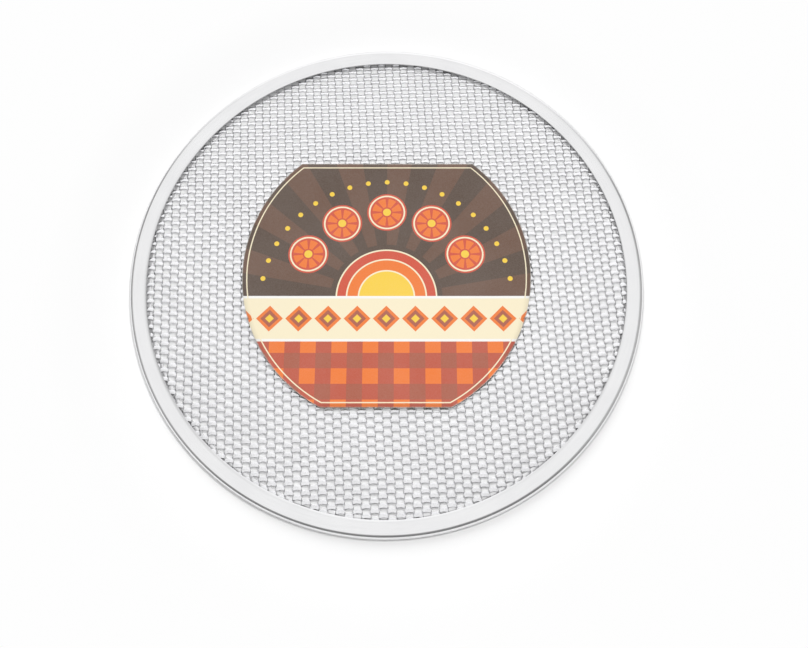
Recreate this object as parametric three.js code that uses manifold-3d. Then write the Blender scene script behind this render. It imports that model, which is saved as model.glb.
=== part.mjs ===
// Pizza screen: a disc of expanded metal mesh held by its edge in a folded rim hoop,
// with a loose printed card lying on the mesh.
// Millimetres, +Z up. The origin is the middle of the underside, on the surface that the screen rests on.

import * as THREE from 'three';
import { mergeVertices } from 'three/addons/utils/BufferGeometryUtils.js';
import Module from 'manifold-3d';

const wasm = await Module();
wasm.setup();

// Rim hoop: one strip folded to a U that opens inwards
const screenDiameter = 305;
const rimWidth = 10.1;
const rimSheet = 0.7;
const lipTurn = 0.45;
const lipTurnWidth = 2;
const lipEase = 0.15;
const hoopFacets = 72;
const outerBendFacets = 6;
const innerBendFacets = 4;

// Expanded mesh: one sheet, slit in staggered rows and stretched. The diamonds are drawn 2.4 times
// as large as on the real sheet, in the same proportions, and the sheet and its rise are real sizes.
const diamondLong = 22.5;
const diamondShort = 12.5;
const strandWidth = 3.1;
const bondLength = 6.4;
const meshSheet = 0.6;
const strandRise = 1.1;
const meshTurn = 2.5;
const cutFacets = 96;

// Card: straight at the top and bottom, with bowed sides
const cardWidth = 171;
const cardSideRadius = 92;
const cardTop = 70.5;
const cardBottom = 81;
const cardStock = 0.4;
const cardArcFacets = 20;

// Clearances
const meshGap = 0.2;
const meshEdgeGap = 0.3;
const cardGap = 0.3;

// Heights and radii that follow
const meshHeight = strandRise + meshSheet;
const rimHeight = meshHeight + 2 * (meshGap + lipTurn + rimSheet);
const rimRadius = screenDiameter / 2;
const lipRadius = rimRadius - rimWidth;
const bendRadius = rimHeight / 2;
const bendCentre = rimRadius - bendRadius;
const meshMiddle = rimHeight / 2;
const meshRadius = bendCentre - meshEdgeGap;
const cardLevel = meshMiddle + meshHeight / 2 + cardGap;

// Points of a round stretch of the hoop's section, in radius and height
function sectionArc(radius, from, to, facets) {
  const arc = new THREE.EllipseCurve(bendCentre, meshMiddle, radius, radius, from, to, to < from);
  return arc.getPoints(facets);
}

// The hoop's section: lower flange, outer bend, upper flange, then back round the inside of the fold.
// Both lips are turned in a little towards the mesh and their edges are eased.
function hoopSection() {
  const turnEnd = lipRadius + lipTurnWidth;
  const top = rimHeight;
  const points = [
    new THREE.Vector2(lipRadius + lipEase, lipTurn),
    new THREE.Vector2(turnEnd, 0),
    ...sectionArc(bendRadius, -Math.PI / 2, Math.PI / 2, outerBendFacets),
    new THREE.Vector2(turnEnd, top),
    new THREE.Vector2(lipRadius + lipEase, top - lipTurn),
    new THREE.Vector2(lipRadius, top - lipTurn - lipEase),
    new THREE.Vector2(lipRadius, top - lipTurn - rimSheet),
    new THREE.Vector2(turnEnd, top - rimSheet),
    ...sectionArc(bendRadius - rimSheet, Math.PI / 2, -Math.PI / 2, innerBendFacets),
    new THREE.Vector2(turnEnd, rimSheet),
    new THREE.Vector2(lipRadius, lipTurn + rimSheet),
    new THREE.Vector2(lipRadius, lipTurn + lipEase),
  ];
  points.push(points[0].clone());
  return points;
}

// The section turned about the vertical axis
function hoopGeometry() {
  const geometry = new THREE.LatheGeometry(hoopSection(), hoopFacets);
  geometry.rotateX(Math.PI / 2);
  return geometry;
}

// The four corners of one diamond opening, on the middle surface of the sheet: right, far, left, near.
// The far corner is lifted and the near one pressed down, which tilts every strand the same way.
function diamondCorners(x, y) {
  const halfLong = (diamondLong - bondLength) / 2;
  const halfShort = diamondShort / 2 - strandWidth;
  return [
    [x + halfLong, y, 0],
    [x, y + halfShort, strandRise / 2],
    [x - halfLong, y, 0],
    [x, y - halfShort, -strandRise / 2],
  ];
}

// The stretched sheet as a surface: two strands and one bond for each opening.
// Rows are half a short diagonal apart, and every second row is shifted by half a long diagonal.
function stretchedSurface() {
  const rows = Math.ceil(meshRadius / (diamondShort / 2)) + 2;
  const columns = Math.ceil(meshRadius / diamondLong) + 2;
  const corners = [];
  const cornerIndex = new Map();
  const place = (row, column) => `${row},${column}`;
  const shift = (row) => Math.abs(row) % 2;
  for (let row = -rows; row <= rows; row += 1) {
    for (let column = -columns; column <= columns; column += 1) {
      cornerIndex.set(place(row, column), corners.length);
      const x = (column + shift(row) / 2) * diamondLong;
      corners.push(...diamondCorners(x, row * diamondShort / 2));
    }
  }
  const triangles = [];
  const addQuad = (a, b, c, d) => triangles.push([a, b, c], [a, c, d]);
  for (let row = -rows + 1; row < rows; row += 1) {
    for (let column = -columns + 1; column < columns; column += 1) {
      const here = cornerIndex.get(place(row, column));
      const next = cornerIndex.get(place(row, column + 1));
      const upRight = cornerIndex.get(place(row + 1, column + shift(row)));
      const upLeft = cornerIndex.get(place(row + 1, column + shift(row) - 1));
      const downRight = cornerIndex.get(place(row - 1, column + shift(row)));
      addQuad(here, upRight + 3, upRight + 2, here + 1);
      addQuad(here + 1, upLeft, upLeft + 3, here + 2);
      addQuad(here, downRight + 1, next + 2, upRight + 3);
    }
  }
  return { corners, triangles };
}

// A surface given thickness: a copy above, a turned copy below and a wall along every free edge
function thickened({ corners, triangles }, thickness) {
  const positions = [];
  for (const side of [thickness / 2, -thickness / 2]) {
    for (const [x, y, z] of corners) {
      positions.push(x, y, z + side);
    }
  }
  const below = corners.length;
  const edges = new Set();
  for (const triangle of triangles) {
    triangle.forEach((corner, at) => edges.add(`${corner},${triangle[(at + 1) % 3]}`));
  }
  const index = [];
  for (const [a, b, c] of triangles) {
    index.push(a, b, c, a + below, c + below, b + below);
  }
  for (const edge of edges) {
    const [from, to] = edge.split(',').map(Number);
    if (!edges.has(`${to},${from}`)) {
      index.push(to, from, from + below, to, from + below, to + below);
    }
  }
  const geometry = new THREE.BufferGeometry();
  geometry.setAttribute('position', new THREE.Float32BufferAttribute(positions, 3));
  geometry.setIndex(index);
  return geometry;
}

// A closed geometry as a solid that can be cut
function solidFrom(geometry) {
  const plain = geometry.clone();
  plain.deleteAttribute('normal');
  plain.deleteAttribute('uv');
  const merged = mergeVertices(plain);
  return new wasm.Manifold(new wasm.Mesh({
    numProp: 3,
    vertProperties: new Float32Array(merged.attributes.position.array),
    triVerts: new Uint32Array(merged.index.array),
  }));
}

function geometryFrom(solid) {
  const mesh = solid.getMesh();
  const geometry = new THREE.BufferGeometry();
  geometry.setAttribute('position', new THREE.Float32BufferAttribute(mesh.vertProperties, 3));
  geometry.setIndex(Array.from(mesh.triVerts));
  geometry.computeVertexNormals();
  return geometry;
}

// The mesh cut to a disc, without the clippings that the round cut leaves loose at its edge
function meshGeometry() {
  const sheet = thickened(stretchedSurface(), meshSheet);
  sheet.rotateZ(THREE.MathUtils.degToRad(meshTurn));
  const cutter = new THREE.CylinderGeometry(meshRadius, meshRadius, 2 * meshHeight, cutFacets);
  cutter.rotateX(Math.PI / 2);
  const pieces = solidFrom(sheet).intersect(solidFrom(cutter)).decompose();
  pieces.sort((a, b) => b.volume() - a.volume());
  return geometryFrom(pieces[0]);
}

// The card's outline: two straight edges joined by the bowed sides
function cardGeometry() {
  const sideCentre = cardSideRadius - cardWidth / 2;
  const topAngle = Math.asin(cardTop / cardSideRadius);
  const bottomAngle = Math.asin(cardBottom / cardSideRadius);
  const outline = new THREE.Shape();
  outline.absarc(-sideCentre, 0, cardSideRadius, -bottomAngle, topAngle, false);
  outline.absarc(sideCentre, 0, cardSideRadius, Math.PI - topAngle, Math.PI + bottomAngle, false);
  return new THREE.ExtrudeGeometry(outline, {
    depth: cardStock,
    bevelEnabled: false,
    curveSegments: cardArcFacets,
  });
}

function makePart(name, geometry, material) {
  const mesh = new THREE.Mesh(geometry, new THREE.MeshStandardMaterial(material));
  mesh.name = name;
  return mesh;
}

const rimHoop = makePart('rim_hoop', hoopGeometry(), { color: 0xdcdddf, roughness: 0.32, metalness: 0.95 });

const meshDisc = makePart('mesh_disc', meshGeometry(), { color: 0xd3d5d8, roughness: 0.38, metalness: 0.95 });
meshDisc.position.z = meshMiddle;

const labelCard = makePart('label_card', cardGeometry(), { color: 0x8c5a46, roughness: 0.55, metalness: 0 });
labelCard.position.z = cardLevel;

const pizzaScreen = new THREE.Group();
pizzaScreen.add(rimHoop, meshDisc, labelCard);

export default pizzaScreen;
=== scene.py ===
import math

import bmesh
import bpy
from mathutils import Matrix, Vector


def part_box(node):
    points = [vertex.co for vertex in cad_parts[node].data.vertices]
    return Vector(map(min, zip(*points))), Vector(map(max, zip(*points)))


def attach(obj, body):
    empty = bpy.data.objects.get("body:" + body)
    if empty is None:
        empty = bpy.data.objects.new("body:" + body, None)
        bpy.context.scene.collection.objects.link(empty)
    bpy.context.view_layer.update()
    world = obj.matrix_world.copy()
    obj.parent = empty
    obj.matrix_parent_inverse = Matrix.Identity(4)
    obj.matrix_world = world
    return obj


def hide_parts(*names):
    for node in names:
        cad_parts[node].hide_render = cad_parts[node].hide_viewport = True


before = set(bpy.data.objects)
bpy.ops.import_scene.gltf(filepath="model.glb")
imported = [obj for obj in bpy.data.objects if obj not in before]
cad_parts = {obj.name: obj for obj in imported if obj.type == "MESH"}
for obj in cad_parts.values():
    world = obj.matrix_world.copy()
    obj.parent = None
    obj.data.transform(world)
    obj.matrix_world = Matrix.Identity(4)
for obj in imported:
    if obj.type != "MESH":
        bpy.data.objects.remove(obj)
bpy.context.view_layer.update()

mm = 0.001


# Small helpers for node trees and meshes

def addNode(tree, kind, values=None, **settings):
    made = tree.nodes.new(kind)
    for name, value in settings.items():
        setattr(made, name, value)
    for key, value in (values or {}).items():
        if isinstance(value, bpy.types.NodeSocket):
            tree.links.new(value, made.inputs[key])
        else:
            made.inputs[key].default_value = value
    return made


def calc(tree, operation, *terms, clamp=False):
    made = addNode(tree, "ShaderNodeMath", dict(enumerate(terms)), operation=operation, use_clamp=clamp)
    return made.outputs[0]


def vectorCalc(tree, operation, values, output="Vector"):
    return addNode(tree, "ShaderNodeVectorMath", values, operation=operation).outputs[output]


def flatLength(tree, x, y):
    return calc(tree, "SQRT", calc(tree, "MULTIPLY_ADD", x, x, calc(tree, "MULTIPLY", y, y)))


def splitVector(tree, vector):
    return addNode(tree, "ShaderNodeSeparateXYZ", {0: vector}).outputs


def joinVector(tree, *terms):
    return addNode(tree, "ShaderNodeCombineXYZ", dict(enumerate(terms))).outputs[0]


def smoothStep(tree, value, start, end, low=0.0, high=1.0):
    return addNode(tree, "ShaderNodeMapRange", {
        "Value": value, "From Min": start, "From Max": end, "To Min": low, "To Max": high,
    }, interpolation_type="SMOOTHSTEP").outputs[0]


def mixColour(tree, factor, first, second):
    return addNode(tree, "ShaderNodeMix", {0: factor, 6: first, 7: second}, data_type="RGBA").outputs[2]


def newGroup(name, inputs, outputs):
    tree = bpy.data.node_groups.new(name, "ShaderNodeTree")
    for label, kind, value in inputs:
        socket = tree.interface.new_socket(label, in_out="INPUT", socket_type=kind)
        if value is not None:
            socket.default_value = value
    for label, kind in outputs:
        tree.interface.new_socket(label, in_out="OUTPUT", socket_type=kind)
    return tree, tree.nodes.new("NodeGroupInput").outputs, tree.nodes.new("NodeGroupOutput").inputs


def useGroup(tree, group, values):
    return addNode(tree, "ShaderNodeGroup", values, node_tree=group).outputs


# a geometry tree that turns one base shape into a whole piece of metal
def newShapeTree(name, base, measures, counts):
    tree = bpy.data.node_groups.new(name, "GeometryNodeTree")
    sockets = [(base, "NodeSocketGeometry")]
    sockets += [(label, "NodeSocketFloat") for label in measures]
    sockets += [(label, "NodeSocketInt") for label in counts]
    sockets += [("Metal", "NodeSocketMaterial")]
    for label, kind in sockets:
        tree.interface.new_socket(label, in_out="INPUT", socket_type=kind)
    tree.interface.new_socket("Shape", in_out="OUTPUT", socket_type="NodeSocketGeometry")
    return tree, tree.nodes.new("NodeGroupInput").outputs, tree.nodes.new("NodeGroupOutput").inputs


def finishShapeTree(tree, shape, metal, result):
    shape = addNode(tree, "GeometryNodeRealizeInstances", {0: shape}).outputs[0]
    shape = addNode(tree, "GeometryNodeSetMaterial", {"Geometry": shape, "Material": metal}).outputs[0]
    tree.links.new(shape, result["Shape"])


def newMaterial(name):
    material = bpy.data.materials.new(name)
    material.use_nodes = True
    tree = material.node_tree
    return material, tree, tree.nodes["Principled BSDF"]


def placeMesh(name, mesh):
    piece = bpy.data.objects.new(name, mesh)
    bpy.context.scene.collection.objects.link(piece)
    return piece


def growFrom(piece, tree, values):
    modifier = piece.modifiers.new(tree.name, "NODES")
    modifier.node_group = tree
    for item in tree.interface.items_tree:
        if item.item_type == "SOCKET" and item.in_out == "INPUT" and item.name in values:
            modifier[item.identifier] = values[item.name]


def settleModifiers(piece):
    graph = bpy.context.evaluated_depsgraph_get()
    settled = bpy.data.meshes.new_from_object(piece.evaluated_get(graph), depsgraph=graph)
    piece.modifiers.clear()
    piece.data = settled


def faceOutwards(mesh):
    work = bmesh.new()
    work.from_mesh(mesh)
    bmesh.ops.remove_doubles(work, verts=work.verts, dist=0.001 * mm)
    bmesh.ops.recalc_face_normals(work, faces=work.faces)
    work.to_mesh(mesh)
    work.free()


def smoothByAngle(mesh, degrees):
    mesh.polygons.foreach_set("use_smooth", [True] * len(mesh.polygons))
    mesh.set_sharp_from_angle(angle=math.radians(degrees))


# Camera at the viewing angle of the photograph, fitted for a frame of 808 by 648

view = {
    "lens": 31.5,
    "elevation": 74.67,
    "distance": 414.6 * mm,
    "aim": (10.32 * mm, -31.27 * mm, 0.0),
}


def makeCamera(view):
    data = bpy.data.cameras.new("camera")
    data.sensor_fit = "HORIZONTAL"
    data.sensor_width = 36.0
    data.lens = view["lens"]
    data.clip_start = 0.01
    camera = bpy.data.objects.new("camera", data)
    bpy.context.scene.collection.objects.link(camera)
    tilt = math.radians(view["elevation"])
    back = Vector((0, -math.cos(tilt), math.sin(tilt)))
    camera.location = Vector(view["aim"]) + back * view["distance"]
    camera.rotation_euler = (math.pi / 2 - tilt, 0, 0)
    bpy.context.scene.camera = camera


makeCamera(view)


# White table, walls for the metal to mirror, two lamps hung over the table and a broad one behind

studio = {
    "floorSize": 6.0,
    "floorTone": 0.94,
    "floorCloud": 0.02,
    "floorCloudSize": 3.0,
    "floorRoughness": 0.9,
    "floorGloss": 0.1,
    "shadedTo": 160 * mm,
    "whiteFrom": 210 * mm,
    "whiteLevel": 0.99,
    "worldDiffuse": 0.13,
    "wallTone": 0.22,
    "ceilingTone": 0.95,
    "ceilingTowards": (-0.10, 0.10, 1.0),
    "ceilingFrom": 0.60,
    "ceilingFull": 0.86,
    "panelTone": 1.15,
    "panelTowards": (0.0, 1.0, 0.2),
    "panelFrom": 0.55,
    "panelFull": 0.97,
    "rightTone": 0.5,
    "rightTowards": (0.83, 0.0, 0.56),
    "rightFrom": 0.78,
    "rightFull": 0.97,
    "leftTone": 0.42,
    "leftTowards": (-0.92, 0.0, 0.38),
    "leftFrom": 0.78,
    "leftFull": 0.97,
    "horizonTone": 0.06,
    "horizonFrom": 0.02,
    "horizonTop": 0.26,
    "lamps": (
        {"name": "tableLamp", "strength": 13.5, "radius": 18 * mm, "at": (58 * mm, 40 * mm, 340 * mm)},
        {"name": "frontLamp", "strength": 15.5, "radius": 40 * mm, "at": (-15 * mm, -84 * mm, 300 * mm)},
    ),
    "backLamp": {"strength": 1.85, "spread": 38, "from": (-0.16, 0.86, 0.48)},
}


def makeFloor(studio):
    half = studio["floorSize"] / 2
    corners = [(-half, -half, 0), (half, -half, 0), (half, half, 0), (-half, half, 0)]
    mesh = bpy.data.meshes.new("floor")
    mesh.from_pydata(corners, [], [(0, 1, 2, 3)])
    floor = placeMesh("floor", mesh)
    material, tree, shader = newMaterial("whiteTable")
    coords = tree.nodes.new("ShaderNodeTexCoord").outputs["Object"]
    cloud = addNode(tree, "ShaderNodeTexNoise", {
        "Vector": coords, "Scale": studio["floorCloudSize"], "Detail": 2.0,
    }).outputs["Fac"]
    shade = calc(tree, "MULTIPLY_ADD", cloud, studio["floorCloud"], studio["floorTone"])
    tone = addNode(tree, "ShaderNodeCombineColor", {0: shade, 1: shade, 2: shade})
    tree.links.new(tone.outputs[0], shader.inputs["Base Color"])
    shader.inputs["Roughness"].default_value = studio["floorRoughness"]
    shader.inputs["Specular IOR Level"].default_value = studio["floorGloss"]
    # away from the object the table is seen plain white
    reach = vectorCalc(tree, "LENGTH", {0: coords}, "Value")
    away = smoothStep(tree, reach, studio["shadedTo"], studio["whiteFrom"])
    seen = calc(tree, "MULTIPLY", away, tree.nodes.new("ShaderNodeLightPath").outputs["Is Camera Ray"])
    white = addNode(tree, "ShaderNodeEmission", {"Strength": studio["whiteLevel"]}).outputs[0]
    table = addNode(tree, "ShaderNodeMixShader", {0: seen, 1: shader.outputs[0], 2: white}).outputs[0]
    tree.links.new(table, tree.nodes["Material Output"].inputs["Surface"])
    mesh.materials.append(material)


def makeWorld(studio):
    world = bpy.data.worlds.new("studio")
    world.use_nodes = True
    bpy.context.scene.world = world
    tree = world.node_tree
    background = tree.nodes["Background"]
    direction = tree.nodes.new("ShaderNodeTexCoord").outputs["Generated"]
    tones = []
    for name in ("ceiling", "panel", "right", "left"):
        towards = Vector(studio[name + "Towards"]).normalized()
        facing = vectorCalc(tree, "DOT_PRODUCT", {0: direction, 1: towards}, "Value")
        limits = (studio[name + "From"], studio[name + "Full"])
        tones.append(smoothStep(tree, facing, *limits, studio["wallTone"], studio[name + "Tone"]))
    ceiling, panel, right, left = tones
    height = splitVector(tree, direction)["Z"]
    horizon = smoothStep(tree, height, studio["horizonFrom"], studio["horizonTop"], studio["horizonTone"])
    sides = calc(tree, "MAXIMUM", right, left)
    band = calc(tree, "MULTIPLY", calc(tree, "MAXIMUM", ceiling, sides), horizon)
    band = calc(tree, "MAXIMUM", band, panel)
    rays = tree.nodes.new("ShaderNodeLightPath").outputs
    mirrored = calc(tree, "MAXIMUM", rays["Is Glossy Ray"], rays["Is Transmission Ray"])
    reflected = addNode(tree, "ShaderNodeMix", {0: mirrored, 2: studio["worldDiffuse"], 3: band}).outputs[0]
    strength = addNode(tree, "ShaderNodeMix", {0: rays["Is Camera Ray"], 2: reflected, 3: 1.0}).outputs[0]
    tree.links.new(strength, background.inputs["Strength"])
    background.inputs["Color"].default_value = (1, 1, 1, 1)


# the metal mirrors the studio's walls and ceiling, not the bare lamps
def placeLamp(name, data):
    lamp = bpy.data.objects.new(name, data)
    bpy.context.scene.collection.objects.link(lamp)
    lamp.visible_glossy = False
    lamp.visible_camera = False
    return lamp


def makeLamps(studio):
    # hung over the table, as bright at its edge as below them
    for spec in studio["lamps"]:
        data = bpy.data.lights.new(spec["name"], "POINT")
        data.energy = spec["strength"]
        data.shadow_soft_size = spec["radius"]
        data.use_nodes = True
        falloff = addNode(data.node_tree, "ShaderNodeLightFalloff", {"Strength": 1.0}).outputs["Constant"]
        data.node_tree.links.new(falloff, data.node_tree.nodes["Emission"].inputs["Strength"])
        placeLamp(spec["name"], data).location = spec["at"]
    spec = studio["backLamp"]
    data = bpy.data.lights.new("backLamp", "SUN")
    data.energy = spec["strength"]
    data.angle = math.radians(spec["spread"])
    placeLamp("backLamp", data).rotation_euler = Vector(spec["from"]).to_track_quat("Z", "Y").to_euler()


bpy.context.scene.view_settings.view_transform = "Standard"
makeFloor(studio)
makeWorld(studio)
makeLamps(studio)
print("camera and studio set")


# Shared finishes: streaks of rolled sheet that run round the middle, and dull marks from handling

def makeTurnedGrain():
    tree, given, result = newGroup(
        "turnedGrain",
        [
            ("Vector", "NodeSocketVector", None),
            ("Across", "NodeSocketFloat", 900.0),
            ("Along", "NodeSocketFloat", 9.0),
        ],
        [("Streak", "NodeSocketFloat")],
    )
    place = splitVector(tree, given["Vector"])
    across = calc(tree, "MULTIPLY", flatLength(tree, place["X"], place["Y"]), given["Across"])
    along = calc(tree, "MULTIPLY", calc(tree, "ARCTAN2", place["Y"], place["X"]), given["Along"])
    rise = calc(tree, "MULTIPLY", place["Z"], given["Across"])
    spot = joinVector(tree, across, along, rise)
    noise = addNode(tree, "ShaderNodeTexNoise", {"Vector": spot, "Scale": 1.0, "Detail": 3.0})
    tree.links.new(noise.outputs["Fac"], result["Streak"])
    return tree


def makeHandling():
    tree, given, result = newGroup(
        "handling",
        [
            ("Vector", "NodeSocketVector", None),
            ("Smudge size", "NodeSocketFloat", 45.0),
            ("Fleck size", "NodeSocketFloat", 900.0),
        ],
        [("Smudge", "NodeSocketFloat"), ("Fleck", "NodeSocketFloat")],
    )
    for label, detail in (("Smudge", 4.0), ("Fleck", 2.0)):
        noise = addNode(tree, "ShaderNodeTexNoise", {
            "Vector": given["Vector"], "Scale": given[label + " size"], "Detail": detail,
        }).outputs["Fac"]
        sharp = addNode(tree, "ShaderNodeMapRange", {"Value": noise, "From Min": 0.3, "From Max": 0.7})
        tree.links.new(sharp.outputs[0], result[label])
    return tree


turnedGrain = makeTurnedGrain()
handling = makeHandling()


# Rim hoop: one strip folded over the edge of the mesh, with a flat flange and a slanted outer wall

rimSpec = {
    "width": 10.5 * mm,
    "topRound": 3.0 * mm,
    "lowRound": 0.75 * mm,
    "wallLean": 21,
    "sheet": 0.7 * mm,
    "lipTurn": 1.0 * mm,
    "lipEase": 0.3 * mm,
    "lipTurnWidth": 2.0 * mm,
    "lowLipReach": 2.2 * mm,
    "lowLipTurn": 0.45 * mm,
    "kneeBefore": 0.6 * mm,
    "kneeAfter": 0.4 * mm,
    "kneeDip": 0.15,
    "waver": 0.05 * mm,
    "waves": ((3.0, 0.7, 0.6), (7.0, 2.1, 0.4)),
    "turnSteps": 288,
    "bendSteps": 10,
    "lipSteps": 2,
    "smoothAngle": 50,
    "brightest": (0.96, 0.96, 0.965, 1),
    "dullest": (0.84, 0.84, 0.85, 1),
    "grainAcross": 1500.0,
    "grainAlong": 14.0,
    "grainShare": 0.6,
    "grainStrength": 0.12,
    "grainDepth": 0.05 * mm,
    "smudgeSize": 38.0,
    "roughness": 0.13,
    "roughSmudge": 0.06,
    "roughGrain": 0.08,
    "foldLevel": 1.4 * mm,
    "foldHalf": 1.0 * mm,
    "foldReach": 149 * mm,
    "foldDullness": 0.5,
}


def rimMetal(spec):
    material, tree, shader = newMaterial("rimMetal")
    coords = tree.nodes.new("ShaderNodeTexCoord").outputs["Object"]
    streak = useGroup(tree, turnedGrain, {
        "Vector": coords, "Across": spec["grainAcross"], "Along": spec["grainAlong"],
    })["Streak"]
    smudge = useGroup(tree, handling, {"Vector": coords, "Smudge size": spec["smudgeSize"]})["Smudge"]
    tone = calc(tree, "MULTIPLY", smudge, 1 - spec["grainShare"])
    tone = calc(tree, "MULTIPLY_ADD", streak, spec["grainShare"], tone)
    tree.links.new(mixColour(tree, tone, spec["dullest"], spec["brightest"]), shader.inputs["Base Color"])
    rough = calc(tree, "MULTIPLY_ADD", smudge, spec["roughSmudge"], spec["roughness"])
    rough = calc(tree, "MULTIPLY_ADD", streak, spec["roughGrain"], rough)
    tree.links.new(rough, shader.inputs["Roughness"])
    bump = addNode(tree, "ShaderNodeBump", {
        "Height": streak, "Strength": spec["grainStrength"], "Distance": spec["grainDepth"],
    })
    tree.links.new(bump.outputs[0], shader.inputs["Normal"])
    # inside the fold the sheet is dull
    place = splitVector(tree, coords)
    fold = calc(tree, "COMPARE", place["Z"], spec["foldLevel"], spec["foldHalf"])
    within = calc(tree, "LESS_THAN", flatLength(tree, place["X"], place["Y"]), spec["foldReach"])
    fold = calc(tree, "MULTIPLY", fold, within)
    tree.links.new(calc(tree, "MULTIPLY_ADD", fold, -spec["foldDullness"], 1.0), shader.inputs["Metallic"])
    return material


def arcPoints(centre, radius, start, end, steps):
    points = []
    for step in range(steps + 1):
        angle = math.radians(start + (end - start) * step / steps)
        points.append((centre[0] + radius * math.cos(angle), centre[1] + radius * math.sin(angle)))
    return points


# the eased edge of a lip, from its upper face round to its lower one
def lipEdge(spec, inner, upper):
    ease = spec["lipEase"]
    steps = spec["lipSteps"]
    centre = inner + ease
    lower = upper - spec["sheet"]
    return (
        arcPoints((centre, upper - ease), ease, 90, 180, steps)
        + arcPoints((centre, lower + ease), ease, 180, 270, steps)
    )


# the folded strip in radius and height: lower flange, outer wall, upper flange, and back inside the fold
def rimSection(spec, outer, height):
    sheet = spec["sheet"]
    lean = spec["wallLean"]
    topRound = spec["topRound"]
    lowRound = spec["lowRound"]
    steps = spec["bendSteps"]
    # the wall is the common tangent of the two bends
    low = (outer - lowRound, lowRound)
    drop = math.sin(math.radians(lean)) * (lowRound + topRound - height) + lowRound - topRound
    top = (low[0] + drop / math.cos(math.radians(lean)), height - topRound)
    outside = arcPoints(low, lowRound, -90, lean, steps) + arcPoints(top, topRound, lean, 90, steps)
    inside = arcPoints(top, topRound - sheet, 90, lean, steps // 2)
    inside += arcPoints(low, lowRound - sheet, lean, -90, steps // 2)

    lip = outer - spec["width"]
    lowLip = lip - spec["lowLipReach"]
    turn = lip + spec["lipTurnWidth"]
    lowTurn = lowLip + spec["lipTurnWidth"]
    dip = spec["lipTurn"]
    lowDip = spec["lowLipTurn"]
    before = spec["kneeBefore"]
    after = spec["kneeAfter"]
    knee = spec["kneeDip"]
    return (
        [(lowTurn + before, 0.0)] + outside
        + [(turn + before, height), (turn - after, height - dip * knee)]
        + lipEdge(spec, lip, height - dip) + [(turn, height - sheet)]
        + inside + [(lowTurn, sheet)]
        + lipEdge(spec, lowLip, lowDip + sheet) + [(lowTurn - after, lowDip * knee)]
    )


# the section follows a circle that wavers a little: each wave has its number of turns, start and share
def sweptTree(waves):
    tree, given, result = newShapeTree("sweptHoop", "Section", ("Hoop radius", "Waver"), ("Turn steps",))
    circle = addNode(tree, "GeometryNodeCurvePrimitiveCircle", {
        "Resolution": given["Turn steps"], "Radius": given["Hoop radius"],
    }).outputs["Curve"]
    place = tree.nodes.new("GeometryNodeInputPosition").outputs[0]
    spot = splitVector(tree, place)
    angle = calc(tree, "ARCTAN2", spot["Y"], spot["X"])
    waver = 0.0
    for turns, start, share in waves:
        wave = calc(tree, "SINE", calc(tree, "MULTIPLY_ADD", angle, turns, start))
        waver = calc(tree, "MULTIPLY_ADD", wave, share, waver)
    waver = calc(tree, "MULTIPLY", calc(tree, "ABSOLUTE", waver), given["Waver"])
    shrink = calc(tree, "SUBTRACT", 1.0, calc(tree, "DIVIDE", waver, given["Hoop radius"]))
    inward = vectorCalc(tree, "SCALE", {0: place, "Scale": shrink})
    path = addNode(tree, "GeometryNodeSetPosition", {"Geometry": circle, "Position": inward}).outputs[0]
    section = addNode(tree, "GeometryNodeMeshToCurve", {"Mesh": given["Section"]}).outputs[0]
    hoop = addNode(tree, "GeometryNodeCurveToMesh", {"Curve": path, "Profile Curve": section}).outputs[0]
    finishShapeTree(tree, hoop, given["Metal"], result)
    return tree


def makeRim(spec):
    low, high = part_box("rim_hoop")
    outer = high[0]
    section = rimSection(spec, outer, high[2] - low[2])
    # along the path, a section's x points outwards and its y down
    points = [(radius - outer, -low[2] - rise, 0.0) for radius, rise in section]
    edges = [(at, (at + 1) % len(points)) for at in range(len(points))]
    mesh = bpy.data.meshes.new("rimSection")
    mesh.from_pydata(points, edges, [])
    rim = placeMesh("rim", mesh)
    growFrom(rim, sweptTree(spec["waves"]), {
        "Hoop radius": outer,
        "Waver": spec["waver"],
        "Turn steps": spec["turnSteps"],
        "Metal": rimMetal(spec),
    })
    settleModifiers(rim)
    faceOutwards(rim.data)
    smoothByAngle(rim.data, spec["smoothAngle"])
    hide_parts("rim_hoop")
    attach(rim, "screen")
    print("rim made,", len(rim.data.polygons), "faces")


makeRim(rimSpec)


# Expanded mesh: one cell of the stretched sheet, laid out in staggered rows by a node tree

meshSpec = {
    "longPitch": 9.345 * mm,
    "shortPitch": 5.186 * mm,
    "strand": 1.15 * mm,
    "bondHalf": 2.45 * mm,
    "bondEdgeHalf": 2.0 * mm,
    "sheet": 0.6 * mm,
    "rise": 0.53 * mm,
    "endRise": 0.62,
    "bow": 0.3 * mm,
    "farBow": 0.8,
    "crown": 0.2 * mm,
    "rowTurn": 1.0,
    "columnLean": 3.6,
    "warp": 1.0 * mm,
    "warpSize": 16.0,
    "jitter": 0.22 * mm,
    "jitterSize": 330.0,
    "weldGap": 0.03 * mm,
    "edgeGap": 2.0 * mm,
    "smoothAngle": 25,
    "brightest": (0.97, 0.97, 0.985, 1),
    "dullest": (0.80, 0.80, 0.82, 1),
    "smudgeSize": 60.0,
    "fleckSize": 1100.0,
    "fleckShare": 0.5,
    "fleckStrength": 0.2,
    "fleckDepth": 0.04 * mm,
    "roughness": 0.12,
    "roughFleck": 0.14,
}


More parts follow.
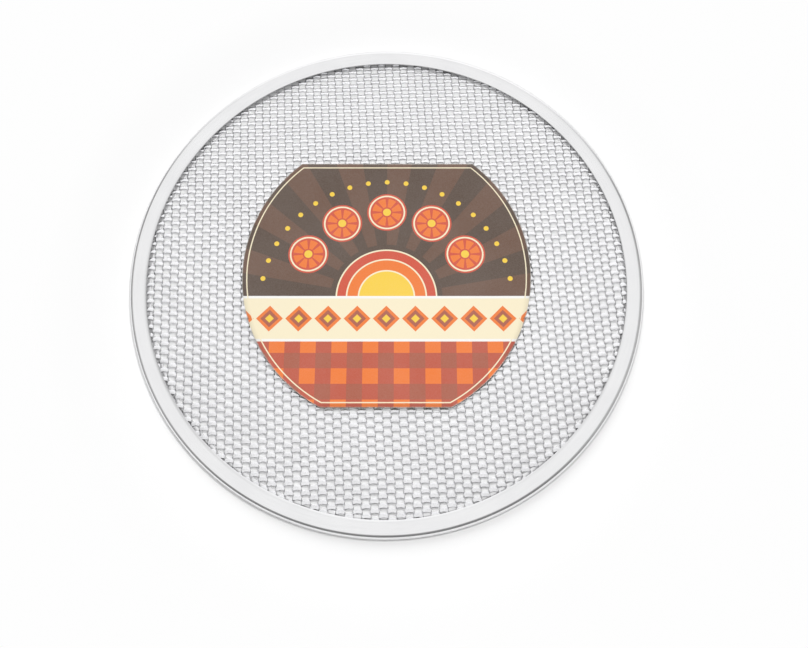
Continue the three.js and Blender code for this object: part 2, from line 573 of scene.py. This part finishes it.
def meshMetal(spec):
    material, tree, shader = newMaterial("meshMetal")
    coords = tree.nodes.new("ShaderNodeTexCoord").outputs["Object"]
    marks = useGroup(tree, handling, {
        "Vector": coords, "Smudge size": spec["smudgeSize"], "Fleck size": spec["fleckSize"],
    })
    tone = calc(tree, "MULTIPLY", marks["Smudge"], 1 - spec["fleckShare"])
    tone = calc(tree, "MULTIPLY_ADD", marks["Fleck"], spec["fleckShare"], tone)
    tree.links.new(mixColour(tree, tone, spec["dullest"], spec["brightest"]), shader.inputs["Base Color"])
    rough = calc(tree, "MULTIPLY_ADD", marks["Fleck"], spec["roughFleck"], spec["roughness"])
    tree.links.new(rough, shader.inputs["Roughness"])
    bump = addNode(tree, "ShaderNodeBump", {
        "Height": marks["Fleck"], "Strength": spec["fleckStrength"], "Distance": spec["fleckDepth"],
    })
    tree.links.new(bump.outputs[0], shader.inputs["Normal"])
    shader.inputs["Metallic"].default_value = 1.0
    return material


# one bond and its two far strands, on the middle surface of the sheet
def cellMesh(spec):
    across = spec["longPitch"] / 2
    along = spec["shortPitch"] / 2
    half = spec["bondHalf"]
    edge = spec["bondEdgeHalf"]
    strand = spec["strand"]
    rise = spec["rise"]
    ends = rise * spec["endRise"]
    bow = spec["bow"]
    farBow = spec["farBow"]
    crown = spec["crown"]
    points = []
    for side, bowed, lift, swell in ((-1, 0.0, ends, 0.0), (0, bow, rise, crown), (1, 0.0, ends, 0.0)):
        points += [
            (side * edge, bowed - strand, lift),
            (side * half, bowed * farBow, swell),
            (side * edge, strand + bowed * farBow, -lift),
        ]
    faces = [(0, 3, 4, 1), (1, 4, 5, 2), (3, 6, 7, 4), (4, 7, 8, 5)]
    for side, mid, far in ((1, 7, 8), (-1, 1, 2)):
        start = len(points)
        points += [
            (side * (half + across - edge) / 2, (along - strand) / 2, ends / 2),
            (side * (edge + across - half) / 2, (along + strand) / 2, -ends / 2),
            (side * (across - edge), along - strand, ends),
            (side * (across - half), along, 0.0),
        ]
        quads = [(mid, start, start + 1, far), (start, start + 2, start + 3, start + 1)]
        faces += quads if side > 0 else [tuple(reversed(quad)) for quad in quads]
    mesh = bpy.data.meshes.new("meshCell")
    mesh.from_pydata(points, [], faces)
    return mesh


# cells on a grid whose odd rows are shifted by half a pitch
def staggeredCells(tree, given):
    rowStep = calc(tree, "DIVIDE", given["Short pitch"], 2.0)
    width = calc(tree, "MULTIPLY", given["Long pitch"], calc(tree, "SUBTRACT", given["Columns"], 1.0))
    depth = calc(tree, "MULTIPLY", rowStep, calc(tree, "SUBTRACT", given["Rows"], 1.0))
    grid = addNode(tree, "GeometryNodeMeshGrid", {
        "Vertices X": given["Columns"], "Vertices Y": given["Rows"], "Size X": width, "Size Y": depth,
    }).outputs["Mesh"]
    spot = splitVector(tree, tree.nodes.new("GeometryNodeInputPosition").outputs[0])
    row = calc(tree, "ROUND", calc(tree, "DIVIDE", spot["Y"], rowStep))
    odd = calc(tree, "FLOORED_MODULO", row, 2.0)
    shift = calc(tree, "MULTIPLY", odd, calc(tree, "DIVIDE", given["Long pitch"], 2.0))
    sites = addNode(tree, "GeometryNodeSetPosition", {
        "Geometry": grid, "Offset": joinVector(tree, shift),
    }).outputs[0]
    cells = addNode(tree, "GeometryNodeInstanceOnPoints", {
        "Points": sites, "Instance": given["Cell"],
    }).outputs[0]
    joined = addNode(tree, "GeometryNodeRealizeInstances", {0: cells}).outputs[0]
    return addNode(tree, "GeometryNodeMergeByDistance", {
        "Geometry": joined, "Distance": given["Weld gap"],
    }).outputs[0]


# the stretch is never quite square, and no two openings are quite alike
def unevenStretch(tree, given, sheet):
    place = tree.nodes.new("GeometryNodeInputPosition").outputs[0]
    spot = splitVector(tree, place)
    turn = given["Row turn"]
    lean = given["Column lean"]
    x = calc(tree, "MULTIPLY", spot["X"], calc(tree, "COSINE", turn))
    x = calc(tree, "SUBTRACT", x, calc(tree, "MULTIPLY", spot["Y"], calc(tree, "SINE", lean)))
    y = calc(tree, "MULTIPLY", spot["X"], calc(tree, "SINE", turn))
    y = calc(tree, "ADD", y, calc(tree, "MULTIPLY", spot["Y"], calc(tree, "COSINE", lean)))
    z = calc(tree, "ADD", spot["Z"], given["Level"])
    # the sheet moves less up and down than sideways
    freedom = (1.0, 1.0, 0.35)
    offset = (0.0, 0.0, 0.0)
    for name in ("Warp", "Jitter"):
        noise = addNode(tree, "ShaderNodeTexNoise", {
            "Vector": place, "Scale": given[name + " size"], "Detail": 0.0,
        }).outputs["Color"]
        centred = vectorCalc(tree, "SUBTRACT", {0: noise, 1: (0.5, 0.5, 0.5)})
        free = vectorCalc(tree, "MULTIPLY", {0: centred, 1: freedom})
        moved = vectorCalc(tree, "SCALE", {0: free, "Scale": given[name]})
        offset = vectorCalc(tree, "ADD", {0: offset, 1: moved})
    return addNode(tree, "GeometryNodeSetPosition", {
        "Geometry": sheet, "Position": joinVector(tree, x, y, z), "Offset": offset,
    }).outputs[0]


# cut to a disc, without the clippings that come loose at its edge
def cutDisc(tree, given, sheet):
    spot = splitVector(tree, tree.nodes.new("GeometryNodeInputPosition").outputs[0])
    reach = flatLength(tree, spot["X"], spot["Y"])
    outside = addNode(tree, "FunctionNodeCompare", {
        0: reach, 1: given["Disc radius"],
    }, operation="GREATER_THAN").outputs[0]
    disc = addNode(tree, "GeometryNodeDeleteGeometry", {
        "Geometry": sheet, "Selection": outside,
    }, domain="FACE").outputs[0]
    island = tree.nodes.new("GeometryNodeInputMeshIsland").outputs["Island Index"]
    share = addNode(tree, "GeometryNodeAccumulateField", {
        "Value": 1.0, "Group ID": island,
    }, domain="FACE").outputs["Total"]
    largest = addNode(tree, "GeometryNodeAttributeStatistic", {
        "Geometry": disc, "Attribute": share,
    }, domain="FACE").outputs["Max"]
    loose = addNode(tree, "FunctionNodeCompare", {0: share, 1: largest}, operation="LESS_THAN").outputs[0]
    return addNode(tree, "GeometryNodeDeleteGeometry", {
        "Geometry": disc, "Selection": loose,
    }, domain="FACE").outputs[0]


def stretchedTree():
    measures = (
        "Long pitch", "Short pitch", "Disc radius", "Row turn", "Column lean",
        "Warp", "Warp size", "Jitter", "Jitter size", "Level", "Weld gap",
    )
    tree, given, result = newShapeTree("stretchedMesh", "Cell", measures, ("Columns", "Rows"))
    sheet = staggeredCells(tree, given)
    sheet = unevenStretch(tree, given, sheet)
    disc = cutDisc(tree, given, sheet)
    finishShapeTree(tree, disc, given["Metal"], result)
    return tree


def makeMesh(spec):
    low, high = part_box("mesh_disc")
    radius = high[0]
    piece = placeMesh("expandedMesh", cellMesh(spec))
    growFrom(piece, stretchedTree(), {
        "Long pitch": spec["longPitch"],
        "Short pitch": spec["shortPitch"],
        "Disc radius": radius - spec["edgeGap"],
        "Row turn": math.radians(spec["rowTurn"]),
        "Column lean": math.radians(spec["columnLean"]),
        "Warp": spec["warp"],
        "Warp size": spec["warpSize"],
        "Jitter": spec["jitter"],
        "Jitter size": spec["jitterSize"],
        "Level": (low[2] + high[2]) / 2,
        "Weld gap": spec["weldGap"],
        "Columns": 2 * math.ceil(radius / spec["longPitch"]) + 5,
        "Rows": 4 * math.ceil(radius / spec["shortPitch"]) + 9,
        "Metal": meshMetal(spec),
    })
    wall = piece.modifiers.new("sheet", "SOLIDIFY")
    wall.thickness = spec["sheet"]
    wall.offset = 0.0
    settleModifiers(piece)
    smoothByAngle(piece.data, spec["smoothAngle"])
    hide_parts("mesh_disc")
    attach(piece, "screen")
    print("mesh made,", len(piece.data.polygons), "faces")


makeMesh(meshSpec)


# Card: printed sheet with straight ends and bowed sides, lying on the mesh

cardSpec = {
    "sideRadius": 92.0 * mm,
    "curl": 0.25 * mm,
    "curlSides": 0.6,
    "curlTop": 0.4,
    "curlPower": 4,
    "edgeRound": 0.06 * mm,
    "columns": 48,
    "rows": 48,
    "smoothAngle": 50,
    "brown": (0.085, 0.055, 0.040, 1),
    "brownLight": (0.135, 0.074, 0.050, 1),
    "terracotta": (0.370, 0.105, 0.063, 1),
    "red": (0.580, 0.085, 0.045, 1),
    "orange": (0.790, 0.190, 0.035, 1),
    "yellow": (0.860, 0.580, 0.060, 1),
    "cream": (0.870, 0.780, 0.560, 1),
    "white": (0.880, 0.870, 0.840, 1),
    "board": (0.800, 0.780, 0.730, 1),
    "boardShade": (0.688, 0.6552, 0.584, 1),
    "boardSmudgeSize": 60.0,
    "boardFibreSize": 1800.0,
    "boardRoughness": 0.8,
    "boardSmudge": 0.1,
    "inkSmudgeSize": 30.0,
    "inkFibreSize": 2200.0,
    "inkRoughness": 0.36,
    "inkSmudge": 0.12,
    "inkGloss": 0.4,
    "fibreShare": 0.05,
    "smudgeShare": 0.03,
    "fibreStrength": 0.06,
    "fibreDepth": 0.03 * mm,
}

# the print, in millimetres: a half sun on a band of lozenges, a ring of rosettes over it and checks below
printSpec = {
    "horizon": -16.0,
    "bandDepth": 26.0,
    "lineWidth": 1.5,
    "sunRings": (16.0, 23.0, 29.0),
    "sunLine": 0.9,
    "rays": 18.0,
    "raysFrom": 33.0,
    "rosettes": 5,
    "rosetteRing": 54.0,
    "rosetteStep": 30.0,
    "rosetteRadius": 12.0,
    "rosetteLine": (0.84, 0.92),
    "rosetteLobes": (0.28, 0.74),
    "rosetteEye": 0.2,
    "lobePairs": 4.0,
    "lobeGap": 0.42,
    "dots": 19,
    "dotRing": 74.0,
    "dotStep": 9.0,
    "dotRadius": 1.5,
    "lozengeWidth": 17.0,
    "lozengeRings": (0.92, 0.62, 0.3),
    "checkSize": 9.0,
    "borderInset": 2.4,
    "borderWidth": 0.7,
    "wornWidth": 0.35,
    "wornSoftness": 0.5,
    "wornShare": 0.8,
    "softness": 0.14,
}


def inkMask(tree, inside, softness):
    return calc(tree, "ADD", calc(tree, "DIVIDE", inside, softness), 0.5, clamp=True)


def discMask(tree, distance, radius, softness):
    return inkMask(tree, calc(tree, "SUBTRACT", radius, distance), softness)


def bandMask(tree, value, start, end, softness):
    above = inkMask(tree, calc(tree, "SUBTRACT", value, start), softness)
    below = inkMask(tree, calc(tree, "SUBTRACT", end, value), softness)
    return calc(tree, "MULTIPLY", above, below)


# distance from the nearest of a ring of spots, and the angle round that spot
def ringOfSpots(tree, angle, dx, dy, ring, step, count):
    turn = math.radians(step)
    near = calc(tree, "ROUND", calc(tree, "DIVIDE", angle, turn))
    near = calc(tree, "MINIMUM", calc(tree, "MAXIMUM", near, 1.0), count)
    at = calc(tree, "MULTIPLY", near, turn)
    px = calc(tree, "SUBTRACT", dx, calc(tree, "MULTIPLY", calc(tree, "COSINE", at), ring))
    py = calc(tree, "SUBTRACT", dy, calc(tree, "MULTIPLY", calc(tree, "SINE", at), ring))
    return flatLength(tree, px, py), calc(tree, "ARCTAN2", py, px)


# sky with faint rays, the rings of the sun, and the rosettes and dots over it
def sunInk(tree, card, spec, x, y):
    soft = spec["softness"]
    dy = calc(tree, "SUBTRACT", y, spec["horizon"])
    reach = flatLength(tree, x, dy)
    angle = calc(tree, "ARCTAN2", dy, x)
    ray = calc(tree, "SINE", calc(tree, "MULTIPLY", angle, spec["rays"]))
    ray = inkMask(tree, calc(tree, "MULTIPLY", ray, reach), 4 * soft)
    ray = calc(tree, "MULTIPLY", ray, inkMask(tree, calc(tree, "SUBTRACT", reach, spec["raysFrom"]), soft))
    colour = mixColour(tree, ray, card["brown"], card["brownLight"])
    inks = [card["yellow"], card["orange"], card["red"]]
    for radius, ink in reversed(list(zip(spec["sunRings"], inks))):
        colour = mixColour(tree, discMask(tree, reach, radius + spec["sunLine"], soft), colour, card["cream"])
        colour = mixColour(tree, discMask(tree, reach, radius, soft), colour, ink)

    spot, bearing = ringOfSpots(
        tree, angle, x, dy, spec["rosetteRing"], spec["rosetteStep"], spec["rosettes"])
    size = spec["rosetteRadius"]
    line = [size * share for share in spec["rosetteLine"]]
    lobes = [size * share for share in spec["rosetteLobes"]]
    colour = mixColour(tree, discMask(tree, spot, size, soft), colour, card["red"])
    colour = mixColour(tree, bandMask(tree, spot, *line, soft), colour, card["cream"])
    lobe = calc(tree, "ABSOLUTE", calc(tree, "SINE", calc(tree, "MULTIPLY", bearing, spec["lobePairs"])))
    lobe = calc(tree, "MULTIPLY", calc(tree, "SUBTRACT", lobe, spec["lobeGap"]), spot)
    lobe = calc(tree, "MULTIPLY", inkMask(tree, lobe, 2 * soft), bandMask(tree, spot, *lobes, soft))
    colour = mixColour(tree, lobe, colour, card["orange"])
    colour = mixColour(tree, discMask(tree, spot, size * spec["rosetteEye"], soft), colour, card["yellow"])
    dot, _ = ringOfSpots(tree, angle, x, dy, spec["dotRing"], spec["dotStep"], spec["dots"])
    return mixColour(tree, discMask(tree, dot, spec["dotRadius"], soft), colour, card["yellow"])


def checkInk(tree, card, spec, x, y):
    stripes = []
    for value in (x, y):
        wave = calc(tree, "PINGPONG", value, spec["checkSize"])
        stripes.append(inkMask(tree, calc(tree, "SUBTRACT", wave, spec["checkSize"] / 2), spec["softness"]))
    checks = calc(tree, "MULTIPLY", calc(tree, "ADD", *stripes), 0.5)
    colour = mixColour(tree, checks, card["terracotta"], card["red"])
    return mixColour(tree, calc(tree, "MULTIPLY", *stripes), colour, card["orange"])


# the band with its lozenges, between two white lines
def bandInk(tree, card, spec, x, y, colour, bandFoot):
    soft = spec["softness"]
    inBand = bandMask(tree, y, bandFoot, spec["horizon"], soft)
    colour = mixColour(tree, inBand, colour, card["cream"])
    wide = spec["lozengeWidth"] / 2
    middle = (bandFoot + spec["horizon"]) / 2
    u = calc(tree, "DIVIDE", calc(tree, "PINGPONG", x, wide), wide)
    v = calc(tree, "DIVIDE", calc(tree, "ABSOLUTE", calc(tree, "SUBTRACT", y, middle)), wide)
    lozenge = calc(tree, "ADD", u, v)
    inks = (card["orange"], card["terracotta"], card["yellow"])
    for limit, ink in zip(spec["lozengeRings"], inks):
        shape = inkMask(tree, calc(tree, "SUBTRACT", limit, lozenge), soft / 4)
        colour = mixColour(tree, calc(tree, "MULTIPLY", shape, inBand), colour, ink)
    for level in (spec["horizon"], bandFoot):
        line = bandMask(tree, y, level - spec["lineWidth"] / 2, level + spec["lineWidth"] / 2, soft)
        colour = mixColour(tree, line, colour, card["white"])
    return colour


# how far a point lies inside the card's outline
def outlineInset(tree, card, x, y, top, bottom, halfWidth):
    radius = card["sideRadius"] / mm
    sideX = calc(tree, "ADD", calc(tree, "ABSOLUTE", x), radius - halfWidth / mm)
    inset = calc(tree, "SUBTRACT", radius, flatLength(tree, sideX, y))
    inset = calc(tree, "MINIMUM", inset, calc(tree, "SUBTRACT", top / mm, y))
    return calc(tree, "MINIMUM", inset, calc(tree, "SUBTRACT", y, bottom / mm))


def cardPrint(card, spec, top, bottom, halfWidth):
    material, tree, shader = newMaterial("cardPrint")
    soft = spec["softness"]
    coords = tree.nodes.new("ShaderNodeTexCoord").outputs["Object"]
    place = splitVector(tree, coords)
    x = calc(tree, "DIVIDE", place["X"], mm)
    y = calc(tree, "DIVIDE", place["Y"], mm)
    bandFoot = spec["horizon"] - spec["bandDepth"]
    below = inkMask(tree, calc(tree, "SUBTRACT", bandFoot, y), soft)
    colour = mixColour(tree, below, sunInk(tree, card, spec, x, y), checkInk(tree, card, spec, x, y))
    colour = bandInk(tree, card, spec, x, y, colour, bandFoot)

    # a fine line that follows the card's outline
    inset = outlineInset(tree, card, x, y, top, bottom, halfWidth)
    border = bandMask(tree, inset, spec["borderInset"], spec["borderInset"] + spec["borderWidth"], soft)
    colour = mixColour(tree, border, colour, card["cream"])

    # paper under the ink: faint fibres, and edges rubbed pale
    fibre = useGroup(tree, handling, {
        "Vector": coords, "Smudge size": card["inkSmudgeSize"], "Fleck size": card["inkFibreSize"],
    })
    worn = inkMask(tree, calc(tree, "SUBTRACT", spec["wornWidth"], inset), spec["wornSoftness"])
    worn = calc(tree, "MULTIPLY", calc(tree, "MULTIPLY", worn, fibre["Fleck"]), spec["wornShare"])
    colour = mixColour(tree, worn, colour, card["board"])
    grain = calc(tree, "MULTIPLY", fibre["Smudge"], card["smudgeShare"])
    grain = calc(tree, "MULTIPLY_ADD", fibre["Fleck"], card["fibreShare"], grain)
    colour = mixColour(tree, grain, colour, card["white"])
    tree.links.new(colour, shader.inputs["Base Color"])
    rough = calc(tree, "MULTIPLY_ADD", fibre["Smudge"], card["inkSmudge"], card["inkRoughness"])
    tree.links.new(rough, shader.inputs["Roughness"])
    bump = addNode(tree, "ShaderNodeBump", {
        "Height": fibre["Fleck"], "Strength": card["fibreStrength"], "Distance": card["fibreDepth"],
    })
    tree.links.new(bump.outputs[0], shader.inputs["Normal"])
    shader.inputs["Specular IOR Level"].default_value = card["inkGloss"]
    return material


def cardBoard(card):
    material, tree, shader = newMaterial("cardBoard")
    coords = tree.nodes.new("ShaderNodeTexCoord").outputs["Object"]
    fibre = useGroup(tree, handling, {
        "Vector": coords, "Smudge size": card["boardSmudgeSize"], "Fleck size": card["boardFibreSize"],
    })
    colour = mixColour(tree, fibre["Fleck"], card["board"], card["boardShade"])
    tree.links.new(colour, shader.inputs["Base Color"])
    rough = calc(tree, "MULTIPLY_ADD", fibre["Smudge"], card["boardSmudge"], card["boardRoughness"])
    tree.links.new(rough, shader.inputs["Roughness"])
    return material


def makeCard(card, printed):
    low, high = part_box("label_card")
    halfWidth = high[0]
    off = card["sideRadius"] - halfWidth
    ease = card["edgeRound"]
    rows = card["rows"]
    columns = card["columns"]
    # levels from the back to the print, and how far each is set in from the outline
    layers = ((low[2], ease), (low[2] + ease, 0.0), (high[2] - ease, 0.0), (high[2], ease))

    def sheetPoint(u, v, level, inset):
        y = (low[1] + inset) + (high[1] - low[1] - 2 * inset) * v
        reach = math.sqrt(card["sideRadius"] ** 2 - y * y) - off - inset
        x = reach * (2 * u - 1)
        sides = (x / halfWidth) ** card["curlPower"] * card["curlSides"]
        top = max(0.0, y / high[1]) ** card["curlPower"] * card["curlTop"]
        return x, y, level + card["curl"] * (sides + top)

    def outline():
        bottomRow = [(at / columns, 0.0) for at in range(columns)]
        rightSide = [(1.0, at / rows) for at in range(rows)]
        topRow = [(1 - at / columns, 1.0) for at in range(columns)]
        leftSide = [(0.0, 1 - at / rows) for at in range(rows)]
        return bottomRow + rightSide + topRow + leftSide

    points = []
    faces = []
    for layer, turned in ((layers[3], False), (layers[0], True)):
        start = len(points)
        for row in range(rows + 1):
            for column in range(columns + 1):
                points.append(sheetPoint(column / columns, row / rows, *layer))
        for row in range(rows):
            for column in range(columns):
                at = start + row * (columns + 1) + column
                quad = (at, at + 1, at + columns + 2, at + columns + 1)
                faces.append(tuple(reversed(quad)) if turned else quad)
    printFaces = rows * columns
    edge = outline()
    starts = []
    for layer in layers:
        starts.append(len(points))
        points += [sheetPoint(u, v, *layer) for u, v in edge]
    for lower, upper in zip(starts, starts[1:]):
        for at in range(len(edge)):
            beside = (at + 1) % len(edge)
            faces.append((lower + at, lower + beside, upper + beside, upper + at))
    mesh = bpy.data.meshes.new("printedCard")
    mesh.from_pydata(points, [], faces)
    mesh.materials.append(cardPrint(card, printed, high[1], low[1], halfWidth))
    mesh.materials.append(cardBoard(card))
    mesh.polygons.foreach_set("material_index", [0 if at < printFaces else 1 for at in range(len(faces))])
    faceOutwards(mesh)
    smoothByAngle(mesh, card["smoothAngle"])
    piece = placeMesh("printedCard", mesh)
    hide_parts("label_card")
    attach(piece, "card")


makeCard(cardSpec, printSpec)
print("card made")
